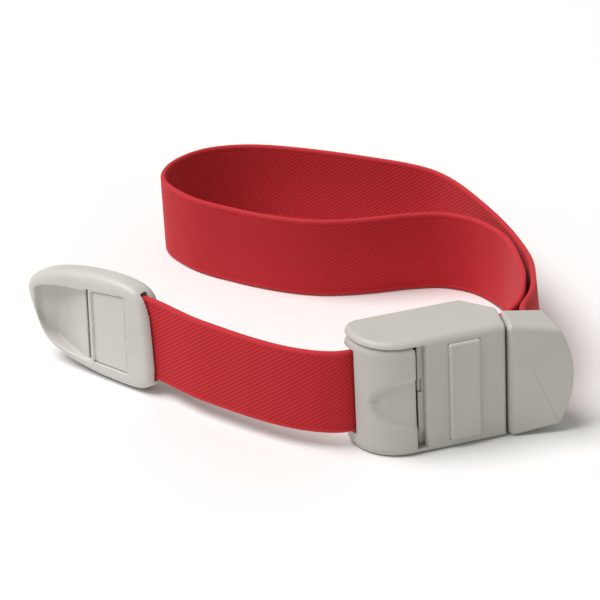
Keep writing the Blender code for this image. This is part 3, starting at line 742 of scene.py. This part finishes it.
def make_lever():
    """A curved thumb cover whose top rolls over and whose dimple is open at its right edge."""
    centre = LEVER_CENTRE
    start = LEVER_LEFT_ANGLE
    end = 270 + math.degrees(math.asin((LEVER_RIGHT - centre[0]) / LEVER_RADIUS))
    span = math.radians(end - start) * LEVER_RADIUS
    tall = LEVER_TOP - LEVER_BOTTOM
    top_roll, top_drop = 2.3, 1.5
    side_roll, side_drop = 0.9, 0.7
    corner = 1.6
    columns, rows = 110, 96
    shape = bmesh.new()

    def spread(step, steps):
        """Closer together near both ends."""
        t = step / steps
        return 0.55 * t + 0.45 * (1 - math.cos(math.pi * t)) / 2

    outer, inner = [], []
    for column in range(columns + 1):
        front, back = [], []
        for row in range(rows + 1):
            height = tall * spread(row, rows)
            to_top = tall - height
            cut = 0.0
            if to_top < corner:
                cut = corner - math.sqrt(corner**2 - (corner - to_top) ** 2)
            reach = (span - cut) * spread(column, columns)
            from_right = span - reach
            drop = top_drop * rolled(to_top / top_roll)
            drop = math.hypot(drop, side_drop * rolled((from_right - cut) / side_roll))
            above = height + LEVER_BOTTOM - DIMPLE_MIDDLE
            steep = 7.0 if above > 0 else 5.0
            across = math.hypot(from_right / DIMPLE_REACH, above / DIMPLE_HALF)
            scoop = DIMPLE_DEPTH * (0.4 + 0.6 * smooth(from_right / 7.0))
            drop += scoop * smooth(steep * (1 - across))
            angle = math.radians(start) + reach / LEVER_RADIUS
            for line, radius in ((front, LEVER_RADIUS - drop), (back, LEVER_RADIUS - LEVER_THICK)):
                line.append(shape.verts.new((
                    centre[0] + radius * math.cos(angle),
                    centre[1] + radius * math.sin(angle),
                    LEVER_BOTTOM + height,
                )))
        outer.append(front)
        inner.append(back)
    for grid in (outer, inner):
        for one, two in zip(grid, grid[1:]):
            for a, b, c, d in zip(one, two, two[1:], one[1:]):
                shape.faces.new((a, b, c, d))

    def border(grid):
        """The points round a grid's edge, in order."""
        there = [line[0] for line in grid] + grid[-1][1:]
        return there + [line[-1] for line in grid[-2::-1]] + grid[0][-2:0:-1]

    rim, hidden = border(outer), border(inner)
    for a, b, c, d in zip(rim, rim[1:] + rim[:1], hidden[1:] + hidden[:1], hidden):
        shape.faces.new((a, b, c, d))
    lever = to_object("thumb_lever", shape, look=CLASP_PLASTIC)
    notch_low = BAND_BOTTOM - LEVER_NOTCH_ROOM
    notch_high = BAND_BOTTOM + BAND_WIDTH + LEVER_NOTCH_ROOM
    combine(lever, [to_object(
        "cut_notch", box((-FAR, LEVER_NOTCH[1], notch_low), (LEVER_NOTCH[0], FAR, notch_high))
    )])
    web = [
        (-22.4, 5.6), (-19.6, 3.9), (-17.0, 3.2), (-17.2, 7.4), (-20.4, 11.2), (-22.0, 11.0), (-22.9, 8.7),
    ]
    combine(lever, [
        to_object("join_hub", cylinder(LEVER_PIVOT, 2.6, LEVER_BOTTOM + 0.15, LEVER_TOP - 0.05)),
        to_object("join_teeth", prism(web, LEVER_BOTTOM + 0.2, LEVER_TOP - 0.1)),
    ], "UNION")
    combine(lever, [
        to_object("cut_bore", cylinder(LEVER_PIVOT, 1.3, 0.0, HEIGHT)),
        to_object("cut_seat", cylinder(LEVER_PIVOT, 2.9, *SPRING_SEAT)),
    ])
    shade(lever, 45)
    dress(lever, "lever", ["release_lever"])


def make_press_bar():
    """The raised bar, with the flange that keeps it in and the two legs that push the latch."""
    places = [(BAR_LEFT, BAR_BOTTOM), (BAR_RIGHT, BAR_BOTTOM), (BAR_RIGHT, BAR_TOP), (BAR_LEFT, BAR_TOP)]
    corners = [(*place, BAR_CORNER, 0.1) for place in places]
    shape = rounded_prism(corners, -BAR_PROUD, BAR_BACK, [BAR_PROUD] * 4, along="Y")
    bar = to_object("front_press_bar", shape, look=CLASP_PLASTIC)
    middle = (BAR_LEFT + BAR_RIGHT) / 2
    joined = [to_object("join_flange", box(
        (BAR_LEFT - 1.2, FRONT_WALL + GAP, BOTTOM_PLATE + GAP),
        (BAR_RIGHT + 1.2, 3.0, INNER_TOP - GAP),
    ))]
    for low in (6.4, 23.6):
        joined.append(to_object("join_leg", box((middle - 3, 2.5, low), (middle + 3, 7.2, low + 2.0))))
    combine(bar, joined, "UNION")
    shade(bar)
    dress(bar, "press_bar", ["press_bar"])


def plug_corners(left, inset=0.0):
    """The D seen from the front, from its lower left corner round to its upper left one."""
    middle = HEIGHT / 2
    half = middle - PLUG_TAPER - inset
    sagitta = PLUG_TIP_X - PLUG_CORNER_X
    radius = (half * half + sagitta * sagitta) / (2 * sagitta)
    spread = math.degrees(math.asin(half / radius))
    end = arc((PLUG_TIP_X - radius - inset, middle), radius, -spread, spread, 10)
    corners = [(left, 4.0, 0.0, PLUG_EDGE_ROUND), (left, inset, 1.2, 0.5), (*end[0], 0.9, 0.5)]
    corners += [(x, z, 0.0, 0.8) for x, z in end[1:-1]]
    corners += [(*end[-1], 1.0, 1.8), (left, HEIGHT - 0.2 - inset, 1.4, 1.3)]
    return corners + [(left, HEIGHT - 4.0, 0.0, PLUG_EDGE_ROUND)]


def make_plug():
    """The plug's head: a D-shaped shell, open behind, whose front flares towards its bulging end."""

    def front(x, _):
        return -PLUG_PROUD - PLUG_FLARE * (x - PLUG_LEFT) / (PLUG_CORNER_X - PLUG_LEFT)

    corners = plug_corners(PLUG_LEFT)
    back = [(x, z, fillet, 1.2) for x, z, fillet, _ in corners]
    shape = rounded_prism(back, front, PLUG_BACK, [corner[3] for corner in corners], 8, "Y")
    for corner in shape.verts:
        share = max(1 - (corner.co.x - PLUG_LEFT) / 4, 0.0)
        corner.co.x += PLUG_SLANT * corner.co.y * smooth(share)
    plug = to_object("plug_front", shape, look=CLASP_PLASTIC)
    inner_corners = plug_corners(PLUG_HOLLOW_LEFT, PLUG_HOLLOW_INSET)
    hollow = [(x, z, 0.6 if fillet else 0.0, 0.3) for x, z, fillet, _ in inner_corners]
    slot = box((8.0, TONGUE_FRONT, TONGUE_BOTTOM), (16.0, PLUG_OPEN_BACK, TONGUE_TOP))
    combine(plug, [
        to_object("cut_hollow", rounded_prism(hollow, 0.9, PLUG_OPEN_BACK, steps=3, along="Y")),
        to_object("cut_slot", slot),
    ])
    soften(plug, 0.18, 2)
    shade(plug)
    dress(plug, "plug", ["plug_shell"])


# ---------------------------------------------------------------- pull tab


def closed_through(outline):
    """The same smooth curve through a closed outline, with four steps to each of its sides."""
    steps = 4
    overlapping = through(outline[-2:] + outline + outline[:2], steps)
    return overlapping[2 * steps:-steps - 1]


def make_tab():
    """The pull tab: a rounded moulding with the finger's hollow, the clamp's window and the band's slot."""
    corners = [(x, z, 0.0, 2.5) for x, z in closed_through(TAB_OUTLINE)]
    shape = rounded_prism(corners, TAB_BACK, TAB_FRONT, along="Y", steps=5)
    tab = to_object("tab_moulding", shape, TAB, TAB_PLASTIC)
    channel = box(
        (-6.0, -CHANNEL_HALF, BAND_BOTTOM - TAB_RISE - BAND_SLOT_ROOM),
        (19.8, CHANNEL_HALF, BAND_BOTTOM + BAND_WIDTH + BAND_SLOT_ROOM),
    )
    window = [
        (7.7, WINDOW_BOTTOM), (20.0, WINDOW_BOTTOM), (20.0, WINDOW_TOP_AT_PIN), (7.7, WINDOW_TOP),
    ]
    valley = to_object("cut_valley", prism([
        (21.0, 8.0), (21.0, 2.0), (23.4, 2.0), (33.0, -0.5), (37.0, -0.8), (41.2, 1.0), (44.0, 8.0),
    ], 0.0, 40.0), TAB)
    opening = [
        (18.0, 4.0), (23.0, 4.0), (29.0, 4.4), (35.5, 5.9), (39.4, 8.8), (41.8, 14.0), (42.9, 18.4),
        (41.7, 21.0), (37.0, 23.0), (30.0, 24.4), (23.3, 25.1), (18.0, 26.0),
    ]
    opening = prism(closed_through(opening), -6.0, 9.0, "Y")
    combine(valley, [to_object("keep_opening", opening, TAB)], "INTERSECT")
    for cutter in (
        to_object("cut_channel", channel, TAB),
        to_object("cut_window", prism(window, 0.5, 8.0, "Y"), TAB),
        to_object("cut_seat", cylinder(CLAMP_PIN, 2.0, WINDOW_BOTTOM, WINDOW_TOP_AT_PIN), TAB),
        valley,
    ):
        combine(tab, [cutter])
    step = tab.modifiers.new("even_mesh", "REMESH")
    step.mode = "VOXEL"
    step.voxel_size = 0.25 * MM
    step = tab.modifiers.new("soft_edges", "SMOOTH")
    step.factor = 0.5
    step.iterations = 5
    freeze(tab)
    tab.data.shade_smooth()
    dress(tab, "clasp", ["tab_shell"])


def make_clamp_plate():
    """The hinged plate in the tab's window, with three teeth that hold the band's end."""
    barrel = arc(CLAMP_PIN, CLAMP_BARREL, -150, 60, 24)
    teeth = []
    for tooth in range(3):
        end = 11.6 + tooth * 2.4
        teeth += [(end - 1.2, CLAMP_BACK), (end - 0.6, CLAMP_BACK - 0.4), (end, CLAMP_BACK)]
    outline = [(CLAMP_LEFT, CLAMP_FRONT), (CLAMP_LEFT, CLAMP_BACK)] + teeth
    outline += [(19.0, CLAMP_BACK)] + barrel + [(18.4, CLAMP_FRONT)]
    plate = to_object("clamp_plate", prism(outline, CLAMP_BOTTOM, CLAMP_TOP), TAB, TAB_PLASTIC)
    slope = [(7.0, 27.25), (23.0, 25.15), (23.0, 29.0), (7.0, 29.0)]
    combine(plate, [
        to_object("cut_bore", cylinder(CLAMP_PIN, 0.9, 0.0, 32.0), TAB),
        to_object("cut_slope", prism(slope, -2.0, 5.0, "Y"), TAB),
    ])
    soften(plate, 0.25, 3)
    shade(plate)
    dress(plate, "clamp_plate", ["tab_clamp_plate"])


# ---------------------------------------------------------------- CAD nodes that stay


def repaint_nodes():
    """Gives the inner pieces, which are shown as they are in the CAD model, their materials."""
    for node, look in (
        ("clamping_bar", CLASP_PLASTIC), ("partition", CLASP_PLASTIC), ("latch_plate", CLASP_PLASTIC),
        ("plug_rear_cover", CLASP_PLASTIC), ("plug_tongue", CLASP_PLASTIC), ("lever_pin", STEEL),
        ("guide_pin", STEEL), ("lever_spring", STEEL), ("bar_spring_lower", STEEL),
        ("bar_spring_upper", STEEL), ("band_bar", STEEL), ("tab_clamp_pin", STEEL),
    ):
        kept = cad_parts[node]
        kept.data.materials.clear()
        kept.data.materials.append(look)


# ---------------------------------------------------------------- stage, lights, camera


CAMERA_AT = (-212.7, -571.1, 361.8)
CAMERA_TURN = 16.6  # degrees clockwise from +Y
CAMERA_TILT = 27.5  # degrees below the horizon
CAMERA_ROLL = -2.973
LENS = 161.86


def make_camera():
    data = bpy.data.cameras.new("camera")
    data.lens = LENS
    data.sensor_width = 36.0
    data.clip_start = 0.05
    data.clip_end = 20.0
    camera = bpy.data.objects.new("camera", data)
    bpy.context.scene.collection.objects.link(camera)
    camera.rotation_mode = "QUATERNION"
    turned = (
        Matrix.Rotation(math.radians(-CAMERA_TURN), 3, "Z")
        @ Matrix.Rotation(math.radians(90 - CAMERA_TILT), 3, "X")
        @ Matrix.Rotation(math.radians(CAMERA_ROLL), 3, "Z")
    )
    camera.location = WORLD @ Vector(CAMERA_AT)
    camera.rotation_quaternion = turned.to_quaternion()
    bpy.context.scene.camera = camera


def sun_light(name, side, height, strength, softness, colour):
    """A soft distant light: side is its compass angle from +Y towards +X, height above the floor."""
    data = bpy.data.lights.new(name, "SUN")
    data.energy = strength
    data.angle = math.radians(softness)
    data.color = colour
    light = bpy.data.objects.new(name, data)
    light.rotation_mode = "QUATERNION"
    turn = Matrix.Rotation(math.radians(-side), 3, "Z")
    turned = turn @ Matrix.Rotation(math.radians(height - 90), 3, "X")
    light.rotation_quaternion = turned.to_quaternion()
    bpy.context.scene.collection.objects.link(light)


def make_studio():
    scene = bpy.context.scene
    scene.view_settings.view_transform = "Standard"
    world = bpy.data.worlds.new("studio")
    world.use_nodes = True
    world.node_tree.nodes["Background"].inputs["Color"].default_value = (0.99, 1.0, 0.93, 1.0)
    world.node_tree.nodes["Background"].inputs["Strength"].default_value = 0.355
    scene.world = world
    sun_light("key", -75.0, 64.0, 2.95, 40.0, (1.0, 0.972, 0.975))
    n = Nodes("pale_floor")
    place = n.add("TexCoord").outputs["Object"]
    n.set(Base_Color=n.ramp(n.noise(place, 6.0), (0.3, (0.86, 0.86, 0.86)), (0.7, (0.89, 0.89, 0.89))))
    n.shader.inputs["Roughness"].default_value = 0.7
    shape = bmesh.new()
    bmesh.ops.create_grid(shape, x_segments=8, y_segments=8, size=3.0)
    mesh = bpy.data.meshes.new("floor")
    shape.to_mesh(mesh)
    shape.free()
    mesh.materials.append(n.material)
    floor = bpy.data.objects.new("floor", mesh)
    bpy.context.scene.collection.objects.link(floor)
    floor.location = (0, 0, -0.0002)


make_camera()
make_studio()
make_band()
make_casing()
make_rear_cover()
make_lever()
make_press_bar()
make_plug()
make_tab()
make_clamp_plate()
repaint_nodes()
